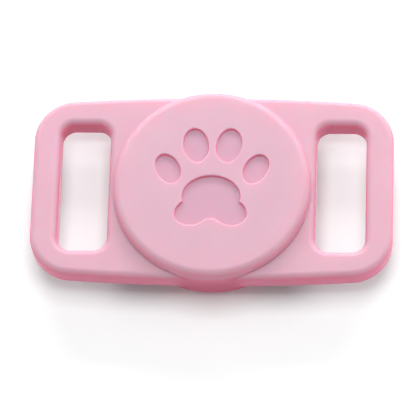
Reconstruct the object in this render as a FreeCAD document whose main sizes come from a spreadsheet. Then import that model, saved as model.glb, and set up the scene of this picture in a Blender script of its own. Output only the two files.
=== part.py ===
import FreeCAD
import Part
import Sketcher
import math
import os
from collections import namedtuple

# Collar holder for a round tracker tag: a soft sleeve on a strap plate, with the tag inside.
# Millimetres. The sleeve lies on its back, the drum axis is Z, the plate runs along X.

# Driving sizes, one spreadsheet cell each.
SIZES = {
    # strap plate
    "plate_thickness": 5.0,
    "plate_bow": 1.45,
    "plate_corner_radius": 7.5,
    "plate_front_round": 1.3,
    "plate_back_round": 1.0,
    # strap slots and the bars round them
    "slot_length": 26.0,
    "slot_width": 9.6,
    "slot_web": 0.85,
    "end_bar": 5.3,
    "side_bar": 4.5,
    "slot_corner_radius": 2.6,
    "slot_front_round": 1.4,
    "slot_back_round": 0.6,
    # drum and its tag pocket
    "drum_wall": 3.2,
    "drum_rise": 2.1,
    "drum_front_round": 1.7,
    "drum_back_round": 1.8,
    "front_wall": 1.3,
    "pocket_corner_round": 2.0,
    "tag_clearance": 0.1,
    "tag_recess": 1.1,
    # soft lip round the back opening
    "lip_reach": 2.65,
    "lip_recess": 0.3,
    "lip_gap": 0.2,
    "lip_round": 0.5,
    # sunk motif on the drum face
    "motif_depth": 0.65,
    "pad_width": 11.2,
    "pad_height": 8.8,
    "pad_drop": 2.9,
    "lobe_width": 7.0,
    "lobe_height": 5.4,
    "lobe_across": 3.5,
    "lobe_drop": 5.9,
    "lobe_lean": 20.0,
    "inner_toe_length": 7.0,
    "inner_toe_width": 4.8,
    "inner_toe_across": 3.2,
    "inner_toe_up": 7.8,
    "inner_toe_lean": 80.0,
    "outer_toe_length": 6.4,
    "outer_toe_width": 4.4,
    "outer_toe_across": 8.5,
    "outer_toe_up": 2.9,
    "outer_toe_lean": 62.0,
    # tag shell
    "shell_wall": 1.0,
    "shell_rim": 3.25,
    "cover_shoulder": 3.3,
    "dome_rise": 4.2,
    "rim_setback": 0.7,
    "rim_round": 1.75,
    "seam_gap": 0.05,
    "spigot_lead": 0.9,
    "seal_section": 0.6,
    "seal_squeeze": 0.05,
    "floor_thickness": 0.75,
    # battery bay and bayonet
    "bay_gap": 0.4,
    "collar_wall": 0.6,
    "collar_setback": 0.95,
    "well_depth": 0.6,
    "ledge_thickness": 0.7,
    "channel_height": 1.0,
    "channel_depth": 0.7,
    "door_gap": 0.15,
    "ring_gap": 0.1,
    "lug_half_angle": 9.0,
    "lug_turn": 25.0,
    "lug_stop_gap": 1.0,
    # battery door
    "door_cover_gap": 0.1,
    "door_sheet": 0.35,
    "door_bulge": 0.35,
    "door_flange": 0.65,
    "ring_wall": 0.75,
    "lug_reach": 0.55,
    "lug_thickness": 0.6,
    "seat_gap": 0.05,
    # coin cell
    "cell_diameter": 20.0,
    "cell_height": 3.2,
    "cell_wall": 0.25,
    "cell_round": 0.3,
    "cell_crimp": 0.4,
    "cell_cap_step": 0.4,
    "gasket_wall": 0.35,
    # spring contacts
    "contact_space": 0.35,
    "contact_sheet": 0.12,
    "leaf_length": 9.0,
    "leaf_width": 2.4,
    "side_leaf_height": 2.2,
    # board and its parts
    "board_thickness": 0.6,
    "board_edge_gap": 0.2,
    "board_headroom": 1.4,
    "peg_diameter": 1.4,
    "peg_inset": 1.3,
    "peg_height": 0.7,
    "antenna_width": 0.5,
    "antenna_sheet": 0.12,
    "antenna_half_angle": 150.0,
    "shield_length": 6.4,
    "shield_width": 3.4,
    "shield_height": 0.7,
    "chip_height": 0.5,
    "chip_long": 2.6,
    "chip_short": 1.6,
    "part_reach": 3.0,
    # sounder
    "cup_wall": 0.4,
    "cup_height": 1.4,
    "cup_gap": 0.4,
    "magnet_diameter": 6.6,
    "coil_gap": 0.325,
    "coil_wall": 0.55,
    "coil_height": 1.2,
}
OVERRUN = 1.0
# angle on the board, and shares of the chip's length and width, for each small part
CHIP_PLACES_AND_SHARES = [
    (75, 1.2, 1.0),
    (120, 0.6, 0.7),
    (150, 0.8, 1.1),
    (190, 1.4, 0.8),
    (230, 0.5, 0.6),
    (255, 1.0, 1.2),
    (295, 0.7, 0.6),
]

LEFT = 1
RIGHT = -1
PEG_COUNT = 3
LUG_COUNT = 3
FULL_TURN = 360.0
HALF_TURN = 180.0
NEAR = 1e-3

# One move of an outline: the point it goes to and, for an arc, its radius and its turn.
Step = namedtuple("Step", "across up radius turn", defaults=(None, LEFT))


class Size:
    """A size that knows its spreadsheet expression as well as its present value."""

    def __init__(self, text, value):
        self.text = text
        self.value = value

    def joined(self, other, sign, value):
        return Size(f"({self.text} {sign} {size_of(other).text})", value)

    def __add__(self, other):
        return self.joined(other, "+", self.value + size_of(other).value)

    def __sub__(self, other):
        return self.joined(other, "-", self.value - size_of(other).value)

    def __mul__(self, other):
        return self.joined(other, "*", self.value * size_of(other).value)

    def __truediv__(self, other):
        return self.joined(other, "/", self.value / size_of(other).value)

    def __neg__(self):
        return Size(f"(0 - {self.text})", -self.value)


def size_of(number):
    """Take a size as it is, and a plain number as a size."""
    return number if isinstance(number, Size) else Size(repr(number), number)


def cosine(angle):
    return Size(f"cos({angle.text})", math.cos(math.radians(angle.value)))


def sine(angle):
    return Size(f"sin({angle.text})", math.sin(math.radians(angle.value)))


def root(square):
    return Size(f"sqrt({square.text})", math.sqrt(square.value))


class Sheet:
    """The spreadsheet of driving sizes, read as attributes."""

    def __init__(self, doc):
        self.cells = doc.addObject("Spreadsheet::Sheet", "Sizes")
        for row, (alias, value) in enumerate(SIZES.items(), start=1):
            self.cells.set(f"A{row}", alias)
            self.cells.set(f"B{row}", str(value))
            self.cells.setAlias(f"B{row}", alias)
        doc.recompute()

    def __getattr__(self, alias):
        return Size(f"Sizes.{alias}", float(self.cells.get(alias)))


DOC = FreeCAD.newDocument("TrackerTagHolder")
SHEET = Sheet(DOC)
ZERO = size_of(0)


# Bodies, sketches and outlines

def new_body(name):
    body = DOC.addObject("PartDesign::Body", name)
    body.Label = name
    return body


def origin_item(body, role):
    return next(item for item in body.Origin.OriginFeatures if item.Role == role)


def new_sketch(body, name, role, level=None):
    """Start a sketch on one of the body's own planes, lifted to a level when one is given."""
    sketch = body.newObject("Sketcher::SketchObject", name)
    sketch.AttachmentSupport = [(origin_item(body, role), "")]
    sketch.MapMode = "FlatFace"
    if level is not None:
        sketch.AttachmentOffset.Base.z = level.value
        sketch.setExpression("AttachmentOffset.Base.z", level.text)
    return sketch


def bind(sketch, kind, *where, size):
    """Add a dimension whose value is the size's expression."""
    number = sketch.addConstraint(Sketcher.Constraint(kind, *where, size.value))
    sketch.setExpression(f"Constraints[{number}]", size.text)


def pin(sketch, geometry, end, across, up):
    """Fix one point of a sketch by its distances from the sketch's axes."""
    for kind, size, axis in (("DistanceX", across, -2), ("DistanceY", up, -1)):
        if abs(size.value) < NEAR:
            sketch.addConstraint(Sketcher.Constraint("PointOnObject", geometry, end, axis))
        else:
            bind(sketch, kind, -1, 1, geometry, end, size=size)


def place(step):
    return FreeCAD.Vector(step.across.value, step.up.value, 0)


def draw_move(sketch, start, step):
    """Add the line or arc that leads from a point to a step; give its number and its ends."""
    stop = place(step)
    if step.radius is None:
        return sketch.addGeometry(Part.LineSegment(start, stop)), 1, 2
    chord = stop - start
    sagitta = step.radius.value - math.sqrt(step.radius.value ** 2 - (chord.Length / 2) ** 2)
    outward = FreeCAD.Vector(chord.y, -chord.x, 0).normalize() * sagitta * step.turn
    middle = (start + stop) / 2 + outward
    if step.turn == LEFT:
        return sketch.addGeometry(Part.Arc(start, middle, stop)), 1, 2
    return sketch.addGeometry(Part.Arc(stop, middle, start)), 2, 1


def draw_outline(sketch, steps):
    """Draw a closed outline through the steps, every corner and arc bound to its sizes."""
    moves = []
    for before, step in zip([steps[-1]] + steps[:-1], steps):
        moves.append(draw_move(sketch, place(before), step))
    for (number, begin, _), (last, _, end) in zip(moves, [moves[-1]] + moves[:-1]):
        sketch.addConstraint(Sketcher.Constraint("Coincident", last, end, number, begin))
    for (number, _, end), step in zip(moves, steps):
        pin(sketch, number, end, step.across, step.up)
        if step.radius is not None:
            bind(sketch, "Radius", number, size=step.radius)


def draw_circle(sketch, across, up, radius):
    centre = FreeCAD.Vector(across.value, up.value, 0)
    number = sketch.addGeometry(Part.Circle(centre, FreeCAD.Vector(0, 0, 1), radius.value))
    pin(sketch, number, 3, across, up)
    bind(sketch, "Radius", number, size=radius)


def draw_oval(sketch, across, up, length, width, lean):
    """Draw an ellipse by its centre, its two diameters and the lean of the long one."""
    turn = math.radians(lean.value)
    along = FreeCAD.Vector(math.cos(turn), math.sin(turn), 0)
    side = FreeCAD.Vector(-along.y, along.x, 0)
    centre = FreeCAD.Vector(across.value, up.value, 0)
    long_end = centre + along * (length.value / 2)
    short_end = centre + side * (width.value / 2)
    number = sketch.addGeometry(Part.Ellipse(long_end, short_end, centre))
    sketch.exposeInternalGeometry(number)
    pin(sketch, number, 3, across, up)
    bind(sketch, "Distance", number + 1, size=length)
    bind(sketch, "Distance", number + 2, size=width)
    drawn = sketch.Geometry[number + 1]
    reach = drawn.EndPoint - drawn.StartPoint
    angle = lean if reach.dot(along) > 0 else lean - HALF_TURN
    number = sketch.addConstraint(Sketcher.Constraint("Angle", number + 1, math.radians(angle.value)))
    sketch.setExpression(f"Constraints[{number}]", f"{angle.text} * 1 deg")


def draw_slot(sketch, across, length, width, radius):
    """Draw an upright slot with rounded corners, centred on the X axis."""
    left = across - width / 2
    right = across + width / 2
    top = length / 2
    bottom = -top
    draw_outline(sketch, [
        Step(right - radius, bottom),
        Step(right, bottom + radius, radius),
        Step(right, top - radius),
        Step(right - radius, top, radius),
        Step(left + radius, top),
        Step(left, top - radius, radius),
        Step(left, bottom + radius),
        Step(left + radius, bottom, radius),
    ])


def draw_sector(sketch, inner, outer, start, stop):
    """Draw a piece of a ring between two angles."""
    draw_outline(sketch, [
        Step(outer * cosine(start), outer * sine(start)),
        Step(outer * cosine(stop), outer * sine(stop), outer),
        Step(inner * cosine(stop), inner * sine(stop)),
        Step(inner * cosine(start), inner * sine(start), inner, RIGHT),
    ])


def draw_wide_sector(sketch, inner, outer, half_angle):
    """Draw a piece of a ring that passes round the back, open towards positive X."""
    start = -half_angle + HALF_TURN
    stop = half_angle + HALF_TURN
    back = size_of(HALF_TURN)
    draw_outline(sketch, [
        Step(outer * cosine(start), outer * sine(start)),
        Step(outer * cosine(back), outer * sine(back), outer),
        Step(outer * cosine(stop), outer * sine(stop), outer),
        Step(inner * cosine(stop), inner * sine(stop)),
        Step(inner * cosine(back), inner * sine(back), inner, RIGHT),
        Step(inner * cosine(start), inner * sine(start), inner, RIGHT),
    ])


# Features

def pad(body, name, sketch, length, both_ways=False):
    feature = body.newObject("PartDesign::Pad", name)
    feature.Profile = sketch
    feature.Midplane = both_ways
    feature.setExpression("Length", length.text)
    DOC.recompute()
    return feature


def pocket(body, name, sketch, depth):
    """Cut a sketch downwards."""
    feature = body.newObject("PartDesign::Pocket", name)
    feature.Profile = sketch
    feature.setExpression("Length", depth.text)
    DOC.recompute()
    return feature


def turned(body, name, sketch, kind="PartDesign::Revolution"):
    """Turn a profile round the part's axis, as a solid or as a cut."""
    feature = body.newObject(kind, name)
    feature.Profile = sketch
    feature.ReferenceAxis = (sketch, ["V_Axis"])
    feature.Angle = FULL_TURN
    DOC.recompute()
    return feature


def lathe(name, steps):
    """Make a body from one turned profile of radius and height steps."""
    body = new_body(name)
    sketch = new_sketch(body, f"{name}_profile", "XZ_Plane")
    draw_outline(sketch, steps)
    turned(body, f"{name}_turn", sketch)
    return body


def ring_of(body, name, feature, count):
    """Repeat a feature evenly round the part's axis."""
    pattern = body.newObject("PartDesign::PolarPattern", name)
    pattern.Originals = [feature]
    pattern.Axis = (origin_item(body, "Z_Axis"), [""])
    pattern.Angle = FULL_TURN
    pattern.Occurrences = count
    body.Tip = pattern
    DOC.recompute()
    return pattern


def round_edges(body, name, feature, chosen, radius):
    """Round the edges of a feature that the given test chooses."""
    names = [f"Edge{i}" for i, edge in enumerate(feature.Shape.Edges, start=1) if chosen(edge)]
    fillet = body.newObject("PartDesign::Fillet", name)
    fillet.Base = (feature, names)
    fillet.setExpression("Radius", radius.text)
    DOC.recompute()
    return fillet


def lies_at(edge, level):
    box = edge.BoundBox
    return abs(box.ZMin - level.value) < NEAR and abs(box.ZMax - level.value) < NEAR


def stands_up(edge):
    box = edge.BoundBox
    return max(box.XLength, box.YLength) < NEAR


def inside_slot(edge):
    """Tell whether an edge belongs to a strap slot and not to the plate's outline."""
    box = edge.BoundBox
    in_length = max(abs(box.YMin), abs(box.YMax)) < SHEET.slot_length.value / 2 + NEAR
    reach = SLOT_CENTRE.value + SHEET.slot_width.value / 2 + NEAR
    return in_length and max(abs(box.XMin), abs(box.XMax)) < reach


# Radii, from the coin cell outwards to the ends of the plate

CELL_RADIUS = SHEET.cell_diameter / 2
BAY_RADIUS = CELL_RADIUS + SHEET.bay_gap
COLLAR_RADIUS = BAY_RADIUS + SHEET.collar_wall
RING_INNER = COLLAR_RADIUS + SHEET.ring_gap
RING_OUTER = RING_INNER + SHEET.ring_wall
BORE_RADIUS = RING_OUTER + SHEET.door_gap
CHANNEL_RADIUS = BORE_RADIUS + SHEET.channel_depth
DOOR_RADIUS = CHANNEL_RADIUS - SHEET.door_cover_gap
WELL_RADIUS = DOOR_RADIUS + SHEET.door_gap
TAG_RADIUS = CHANNEL_RADIUS + SHEET.shell_rim
SPIGOT_RADIUS = TAG_RADIUS - SHEET.shell_wall - SHEET.seam_gap
BOARD_RADIUS = SPIGOT_RADIUS - SHEET.spigot_lead - SHEET.antenna_width - SHEET.board_edge_gap
PEG_RADIUS = BOARD_RADIUS - SHEET.peg_inset
COIL_INNER = SHEET.magnet_diameter / 2 + SHEET.coil_gap
COIL_OUTER = COIL_INNER + SHEET.coil_wall
CUP_RADIUS = COIL_OUTER + SHEET.coil_gap + SHEET.cup_wall
BOARD_HOLE_RADIUS = CUP_RADIUS + SHEET.cup_gap
POCKET_RADIUS = TAG_RADIUS + SHEET.tag_clearance
DRUM_RADIUS = POCKET_RADIUS + SHEET.drum_wall
SLOT_CENTRE = DRUM_RADIUS + SHEET.slot_web + SHEET.slot_width / 2
HALF_LENGTH = SLOT_CENTRE + SHEET.slot_width / 2 + SHEET.end_bar
HALF_WIDTH = SHEET.slot_length / 2 + SHEET.side_bar

# Levels above the rest plane, from the back of the tag forwards

TAG_BACK = SHEET.tag_recess
RIM_LEVEL = TAG_BACK + SHEET.rim_setback
SEAM_LEVEL = RIM_LEVEL + SHEET.rim_round + SHEET.seam_gap
CELL_BACK = TAG_BACK + SHEET.door_bulge + SHEET.door_sheet
CELL_FRONT = CELL_BACK + SHEET.cell_height
FLOOR_BACK = CELL_FRONT + SHEET.contact_space
FLOOR_FRONT = FLOOR_BACK + SHEET.floor_thickness
BOARD_FRONT = FLOOR_FRONT + SHEET.board_thickness
TAG_FRONT = BOARD_FRONT + SHEET.board_headroom + SHEET.shell_wall
LEDGE_BACK = RIM_LEVEL + SHEET.well_depth
LEDGE_FRONT = LEDGE_BACK + SHEET.ledge_thickness
CHANNEL_TOP = LEDGE_FRONT + SHEET.channel_height
SIDE_TOP = TAG_FRONT - SHEET.dome_rise
SEAL_LEVEL = (SEAM_LEVEL + SIDE_TOP) / 2
POCKET_TOP = TAG_FRONT + SHEET.tag_clearance
DRUM_HEIGHT = POCKET_TOP + SHEET.front_wall
PLATE_FRONT = DRUM_HEIGHT - SHEET.drum_rise
PLATE_BACK = PLATE_FRONT - SHEET.plate_thickness

# The cover's dome meets its shoulder arc without a kink

SHOULDER_CENTRE = TAG_RADIUS - SHEET.cover_shoulder
DOME_RADIUS = (
    SHOULDER_CENTRE * SHOULDER_CENTRE + SHEET.dome_rise * SHEET.dome_rise
    - SHEET.cover_shoulder * SHEET.cover_shoulder
) / ((SHEET.dome_rise - SHEET.cover_shoulder) * 2)


# Sleeve

def plate_feature(body):
    """Pad the strap plate with bowed long edges and round its four corners."""
    bow = SHEET.plate_bow
    bow_radius = (HALF_LENGTH * HALF_LENGTH + bow * bow) / (bow * 2)
    sketch = new_sketch(body, "plate_outline", "XY_Plane", PLATE_BACK)
    draw_outline(sketch, [
        Step(HALF_LENGTH, -HALF_WIDTH, bow_radius),
        Step(HALF_LENGTH, HALF_WIDTH),
        Step(-HALF_LENGTH, HALF_WIDTH, bow_radius),
        Step(-HALF_LENGTH, -HALF_WIDTH),
    ])
    plate = pad(body, "plate", sketch, SHEET.plate_thickness)
    return round_edges(body, "plate_corners", plate, stands_up, SHEET.plate_corner_radius)


def slot_features(body):
    """Cut the two strap slots through the plate."""
    sketch = new_sketch(body, "slot_outlines", "XY_Plane", PLATE_FRONT)
    for side in (-1, 1):
        draw_slot(sketch, SLOT_CENTRE * side, SHEET.slot_length,
                  SHEET.slot_width, SHEET.slot_corner_radius)
    return pocket(body, "slots", sketch, SHEET.plate_thickness + OVERRUN)


def plate_rounds(body, feature):
    """Round the plate's and the slots' edges on both faces."""
    feature = round_edges(body, "plate_front_edge", feature,
                          lambda edge: lies_at(edge, PLATE_FRONT) and not inside_slot(edge),
                          SHEET.plate_front_round)
    feature = round_edges(body, "plate_back_edge", feature,
                          lambda edge: lies_at(edge, PLATE_BACK) and not inside_slot(edge),
                          SHEET.plate_back_round)
    feature = round_edges(body, "slot_front_edges", feature,
                          lambda edge: lies_at(edge, PLATE_FRONT) and inside_slot(edge),
                          SHEET.slot_front_round)
    round_edges(body, "slot_back_edges", feature,
                lambda edge: lies_at(edge, PLATE_BACK) and inside_slot(edge),
                SHEET.slot_back_round)


def drum_feature(body):
    """Add the round drum that stands proud of both plate faces."""
    front = SHEET.drum_front_round
    back = SHEET.drum_back_round
    sketch = new_sketch(body, "drum_profile", "XZ_Plane")
    draw_outline(sketch, [
        Step(ZERO, ZERO),
        Step(DRUM_RADIUS - back, ZERO),
        Step(DRUM_RADIUS, back, back),
        Step(DRUM_RADIUS, DRUM_HEIGHT - front),
        Step(DRUM_RADIUS - front, DRUM_HEIGHT, front),
        Step(ZERO, DRUM_HEIGHT),
    ])
    turned(body, "drum", sketch)


def pocket_feature(body):
    """Hollow the drum from the back for the tag."""
    corner = SHEET.pocket_corner_round
    sketch = new_sketch(body, "pocket_profile", "XZ_Plane")
    draw_outline(sketch, [
        Step(ZERO, size_of(-OVERRUN)),
        Step(POCKET_RADIUS, size_of(-OVERRUN)),
        Step(POCKET_RADIUS, POCKET_TOP - corner),
        Step(POCKET_RADIUS - corner, POCKET_TOP, corner),
        Step(ZERO, POCKET_TOP),
    ])
    turned(body, "tag_pocket", sketch, "PartDesign::Groove")


def sink_pair(body, name, across, up, length, width, lean):
    """Sink two ovals that mirror each other into the drum face."""
    sketch = new_sketch(body, f"{name}_outline", "XY_Plane", DRUM_HEIGHT)
    draw_oval(sketch, across, up, length, width, lean)
    draw_oval(sketch, -across, up, length, width, -lean + HALF_TURN)
    pocket(body, name, sketch, SHEET.motif_depth)


def motif_feature(body):
    """Sink a plain paw print into the drum face."""
    sketch = new_sketch(body, "pad_outline", "XY_Plane", DRUM_HEIGHT)
    draw_oval(sketch, ZERO, -SHEET.pad_drop, SHEET.pad_width, SHEET.pad_height, ZERO)
    pocket(body, "pad", sketch, SHEET.motif_depth)
    sink_pair(body, "lobes", SHEET.lobe_across, -SHEET.lobe_drop,
              SHEET.lobe_width, SHEET.lobe_height, -SHEET.lobe_lean)
    sink_pair(body, "inner_toes", SHEET.inner_toe_across, SHEET.inner_toe_up,
              SHEET.inner_toe_length, SHEET.inner_toe_width, SHEET.inner_toe_lean)
    sink_pair(body, "outer_toes", SHEET.outer_toe_across, SHEET.outer_toe_up,
              SHEET.outer_toe_length, SHEET.outer_toe_width, SHEET.outer_toe_lean)


def silicone_sleeve():
    body = new_body("silicone_sleeve")
    plate_feature(body)
    plate_rounds(body, slot_features(body))
    drum_feature(body)
    pocket_feature(body)
    motif_feature(body)
    return body


def retaining_lip():
    """The ring of the moulding that stretches over the tag."""
    inner = POCKET_RADIUS - SHEET.lip_reach
    bottom = SHEET.lip_recess
    top = RIM_LEVEL - SHEET.lip_gap
    edge = SHEET.lip_round
    return lathe("retaining_lip", [
        Step(POCKET_RADIUS, bottom),
        Step(POCKET_RADIUS, top),
        Step(inner + edge, top),
        Step(inner, top - edge, edge),
        Step(inner, bottom + edge),
        Step(inner + edge, bottom, edge),
    ])


# Tag shell

def cover_tangent(wall):
    """Give the point where the dome and the shoulder meet, at a depth below the outer face."""
    reach = (DOME_RADIUS - wall) / (DOME_RADIUS - SHEET.cover_shoulder)
    across = SHOULDER_CENTRE * reach
    up = TAG_FRONT - DOME_RADIUS + (DOME_RADIUS - SHEET.dome_rise) * reach
    return across, up


def cover_inside(radius):
    """Give the level of the dome's inner face at a distance from the axis."""
    dome = DOME_RADIUS - SHEET.shell_wall
    return TAG_FRONT - DOME_RADIUS + root(dome * dome - radius * radius)


def tag_front_cover():
    wall = SHEET.shell_wall
    outer_across, outer_up = cover_tangent(ZERO)
    inner_across, inner_up = cover_tangent(wall)
    return lathe("tag_front_cover", [
        Step(TAG_RADIUS, SEAM_LEVEL),
        Step(TAG_RADIUS, SIDE_TOP),
        Step(outer_across, outer_up, SHEET.cover_shoulder),
        Step(ZERO, TAG_FRONT, DOME_RADIUS),
        Step(ZERO, TAG_FRONT - wall),
        Step(inner_across, inner_up, DOME_RADIUS - wall, RIGHT),
        Step(TAG_RADIUS - wall, SIDE_TOP, SHEET.cover_shoulder - wall, RIGHT),
        Step(TAG_RADIUS - wall, SEAM_LEVEL),
    ])


def rear_shell_profile():
    """List the rear shell's section: bay, collar, door well, back rim and spigot."""
    collar_end = TAG_BACK + SHEET.collar_setback
    seam = RIM_LEVEL + SHEET.rim_round
    groove = SPIGOT_RADIUS - SHEET.seal_section
    half_groove = SHEET.seal_section / 2 + SHEET.seat_gap
    return [
        Step(ZERO, FLOOR_BACK),
        Step(BAY_RADIUS, FLOOR_BACK),
        Step(BAY_RADIUS, collar_end),
        Step(COLLAR_RADIUS, collar_end),
        Step(COLLAR_RADIUS, CHANNEL_TOP),
        Step(BORE_RADIUS, CHANNEL_TOP),
        Step(BORE_RADIUS, LEDGE_BACK),
        Step(WELL_RADIUS, LEDGE_BACK),
        Step(WELL_RADIUS, RIM_LEVEL),
        Step(TAG_RADIUS - SHEET.rim_round, RIM_LEVEL),
        Step(TAG_RADIUS, seam, SHEET.rim_round),
        Step(SPIGOT_RADIUS, seam),
        Step(SPIGOT_RADIUS, SEAL_LEVEL - half_groove),
        Step(groove, SEAL_LEVEL - half_groove),
        Step(groove, SEAL_LEVEL + half_groove),
        Step(SPIGOT_RADIUS, SEAL_LEVEL + half_groove),
        Step(SPIGOT_RADIUS, SIDE_TOP),
        Step(SPIGOT_RADIUS - SHEET.spigot_lead, FLOOR_FRONT),
        Step(ZERO, FLOOR_FRONT),
    ]


def bayonet_cut(body, name, top, depth, start, stop):
    """Cut one ring sector into the bore and repeat it for every lug."""
    sketch = new_sketch(body, f"{name}_outline", "XY_Plane", top)
    draw_sector(sketch, RING_OUTER, CHANNEL_RADIUS, start, stop)
    cut = pocket(body, f"{name}_cut", sketch, depth)
    ring_of(body, f"{name}_ring", cut, LUG_COUNT)


def tag_rear_shell():
    body = lathe("tag_rear_shell", rear_shell_profile())
    lug = SHEET.lug_half_angle + SHEET.lug_stop_gap
    open_end = -(SHEET.lug_turn + lug)
    bayonet_cut(body, "channel", CHANNEL_TOP, SHEET.channel_height, open_end, lug)
    bayonet_cut(body, "entry", LEDGE_FRONT, SHEET.ledge_thickness, open_end, lug - SHEET.lug_turn)
    sketch = new_sketch(body, "peg_outline", "XY_Plane", FLOOR_FRONT)
    draw_circle(sketch, PEG_RADIUS, ZERO, SHEET.peg_diameter / 2)
    peg = pad(body, "peg", sketch, SHEET.peg_height)
    ring_of(body, "pegs", peg, PEG_COUNT)
    return body


def seam_seal():
    """The round-section ring between the rear shell's groove and the cover's wall."""
    body = new_body("seam_seal")
    radius = (SHEET.seal_section - SHEET.seal_squeeze) / 2
    sketch = new_sketch(body, "seal_section_outline", "XZ_Plane")
    draw_circle(sketch, SPIGOT_RADIUS - radius, SEAL_LEVEL, radius)
    turned(body, "seal_turn", sketch)
    return body


# Electronics

def circuit_board():
    body = lathe("circuit_board", [
        Step(BOARD_HOLE_RADIUS, FLOOR_FRONT),
        Step(BOARD_RADIUS, FLOOR_FRONT),
        Step(BOARD_RADIUS, BOARD_FRONT),
        Step(BOARD_HOLE_RADIUS, BOARD_FRONT),
    ])
    sketch = new_sketch(body, "peg_hole_outline", "XY_Plane", BOARD_FRONT)
    draw_circle(sketch, PEG_RADIUS, ZERO, SHEET.peg_diameter / 2 + SHEET.seat_gap)
    hole = pocket(body, "peg_hole", sketch, SHEET.board_thickness)
    ring_of(body, "peg_holes", hole, PEG_COUNT)
    return body


def antenna_strip():
    """A flat open ring on the rear shell, round the board's edge."""
    body = new_body("antenna_strip")
    inner = BOARD_RADIUS + SHEET.seat_gap
    sketch = new_sketch(body, "antenna_outline", "XY_Plane", FLOOR_FRONT)
    draw_wide_sector(sketch, inner, inner + SHEET.antenna_width, SHEET.antenna_half_angle)
    pad(body, "antenna", sketch, SHEET.antenna_sheet)
    return body


def block(name, length, width, height, angle):
    """Make a box that stands on the middle of the board's ring, at an angle."""
    box = DOC.addObject("Part::Box", name)
    box.Label = name
    bearing = size_of(angle)
    near = (BOARD_HOLE_RADIUS + BOARD_RADIUS) / 2 - SHEET.part_reach
    box.Placement.Rotation = FreeCAD.Rotation(FreeCAD.Vector(0, 0, 1), angle)
    for part, size in (
        ("Length", length),
        ("Width", width),
        ("Height", height),
        ("Placement.Base.x", -(length / 2 * cosine(bearing) + near * sine(bearing))),
        ("Placement.Base.y", near * cosine(bearing) - length / 2 * sine(bearing)),
        ("Placement.Base.z", BOARD_FRONT),
    ):
        box.setExpression(part, size.text)
    return box


def radio_shield():
    return block("radio_shield", SHEET.shield_length, SHEET.shield_width,
                 SHEET.shield_height, 0)


def board_chips():
    """Group the small parts that share the board's front."""
    chips = []
    for angle, long_share, short_share in CHIP_PLACES_AND_SHARES:
        chips.append(block(f"chip_{angle}", SHEET.chip_long * long_share, SHEET.chip_short * short_share,
                           SHEET.chip_height, angle))
    group = DOC.addObject("Part::Compound", "board_chips")
    group.Links = chips
    return group


def magnet_cup():
    top = FLOOR_FRONT + SHEET.cup_height
    wall = SHEET.cup_wall
    return lathe("magnet_cup", [
        Step(ZERO, FLOOR_FRONT),
        Step(CUP_RADIUS, FLOOR_FRONT),
        Step(CUP_RADIUS, top),
        Step(CUP_RADIUS - wall, top),
        Step(CUP_RADIUS - wall, FLOOR_FRONT + wall),
        Step(ZERO, FLOOR_FRONT + wall),
    ])


def speaker_magnet():
    bottom = FLOOR_FRONT + SHEET.cup_wall
    top = FLOOR_FRONT + SHEET.cup_height
    return lathe("speaker_magnet", [
        Step(ZERO, bottom),
        Step(SHEET.magnet_diameter / 2, bottom),
        Step(SHEET.magnet_diameter / 2, top),
        Step(ZERO, top),
    ])


def voice_coil():
    top = cover_inside(COIL_OUTER) - SHEET.seat_gap
    return lathe("voice_coil", [
        Step(COIL_INNER, top - SHEET.coil_height),
        Step(COIL_OUTER, top - SHEET.coil_height),
        Step(COIL_OUTER, top),
        Step(COIL_INNER, top),
    ])


def negative_contact():
    """An arched leaf between the bay's floor and the cell's cap."""
    body = new_body("negative_contact")
    half = SHEET.leaf_length / 2
    sag = SHEET.contact_space - SHEET.contact_sheet - SHEET.seat_gap
    arch = (half * half + sag * sag) / (sag * 2)
    sheet = SHEET.contact_sheet
    end = FLOOR_BACK - SHEET.seat_gap / 2
    sketch = new_sketch(body, "leaf_profile", "XZ_Plane")
    draw_outline(sketch, [
        Step(-half, end - sheet),
        Step(half, end - sheet, arch),
        Step(half, end),
        Step(-half, end, arch, RIGHT),
    ])
    pad(body, "leaf", sketch, SHEET.leaf_width, True)
    return body


def positive_contact(name, side):
    """A flat side leaf between the cell's can and the bay wall."""
    leaf = DOC.addObject("Part::Box", name)
    leaf.Label = name
    near = CELL_RADIUS + SHEET.seat_gap / 2
    far = near + SHEET.contact_sheet
    reach = far + SHEET.seat_gap / 2
    half_length = root(BAY_RADIUS * BAY_RADIUS - reach * reach)
    for part, size in (
        ("Length", SHEET.contact_sheet),
        ("Width", half_length * 2),
        ("Height", SHEET.side_leaf_height),
        ("Placement.Base.x", near if side > 0 else -far),
        ("Placement.Base.y", -half_length),
        ("Placement.Base.z", CELL_FRONT - SHEET.side_leaf_height),
    ):
        leaf.setExpression(part, size.text)
    return leaf


# Coin cell

def cell_can():
    wall = SHEET.cell_wall
    corner = SHEET.cell_round
    crimp = SHEET.cell_crimp
    shoulder = CELL_FRONT - crimp - wall
    return lathe("cell_can", [
        Step(ZERO, CELL_BACK),
        Step(CELL_RADIUS - corner, CELL_BACK),
        Step(CELL_RADIUS, CELL_BACK + corner, corner),
        Step(CELL_RADIUS, shoulder),
        Step(CELL_RADIUS - crimp, shoulder + crimp),
        Step(CELL_RADIUS - crimp - wall, shoulder + crimp - wall),
        Step(CELL_RADIUS - wall, shoulder - wall),
        Step(CELL_RADIUS - wall, CELL_BACK + wall),
        Step(ZERO, CELL_BACK + wall),
    ])


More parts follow.
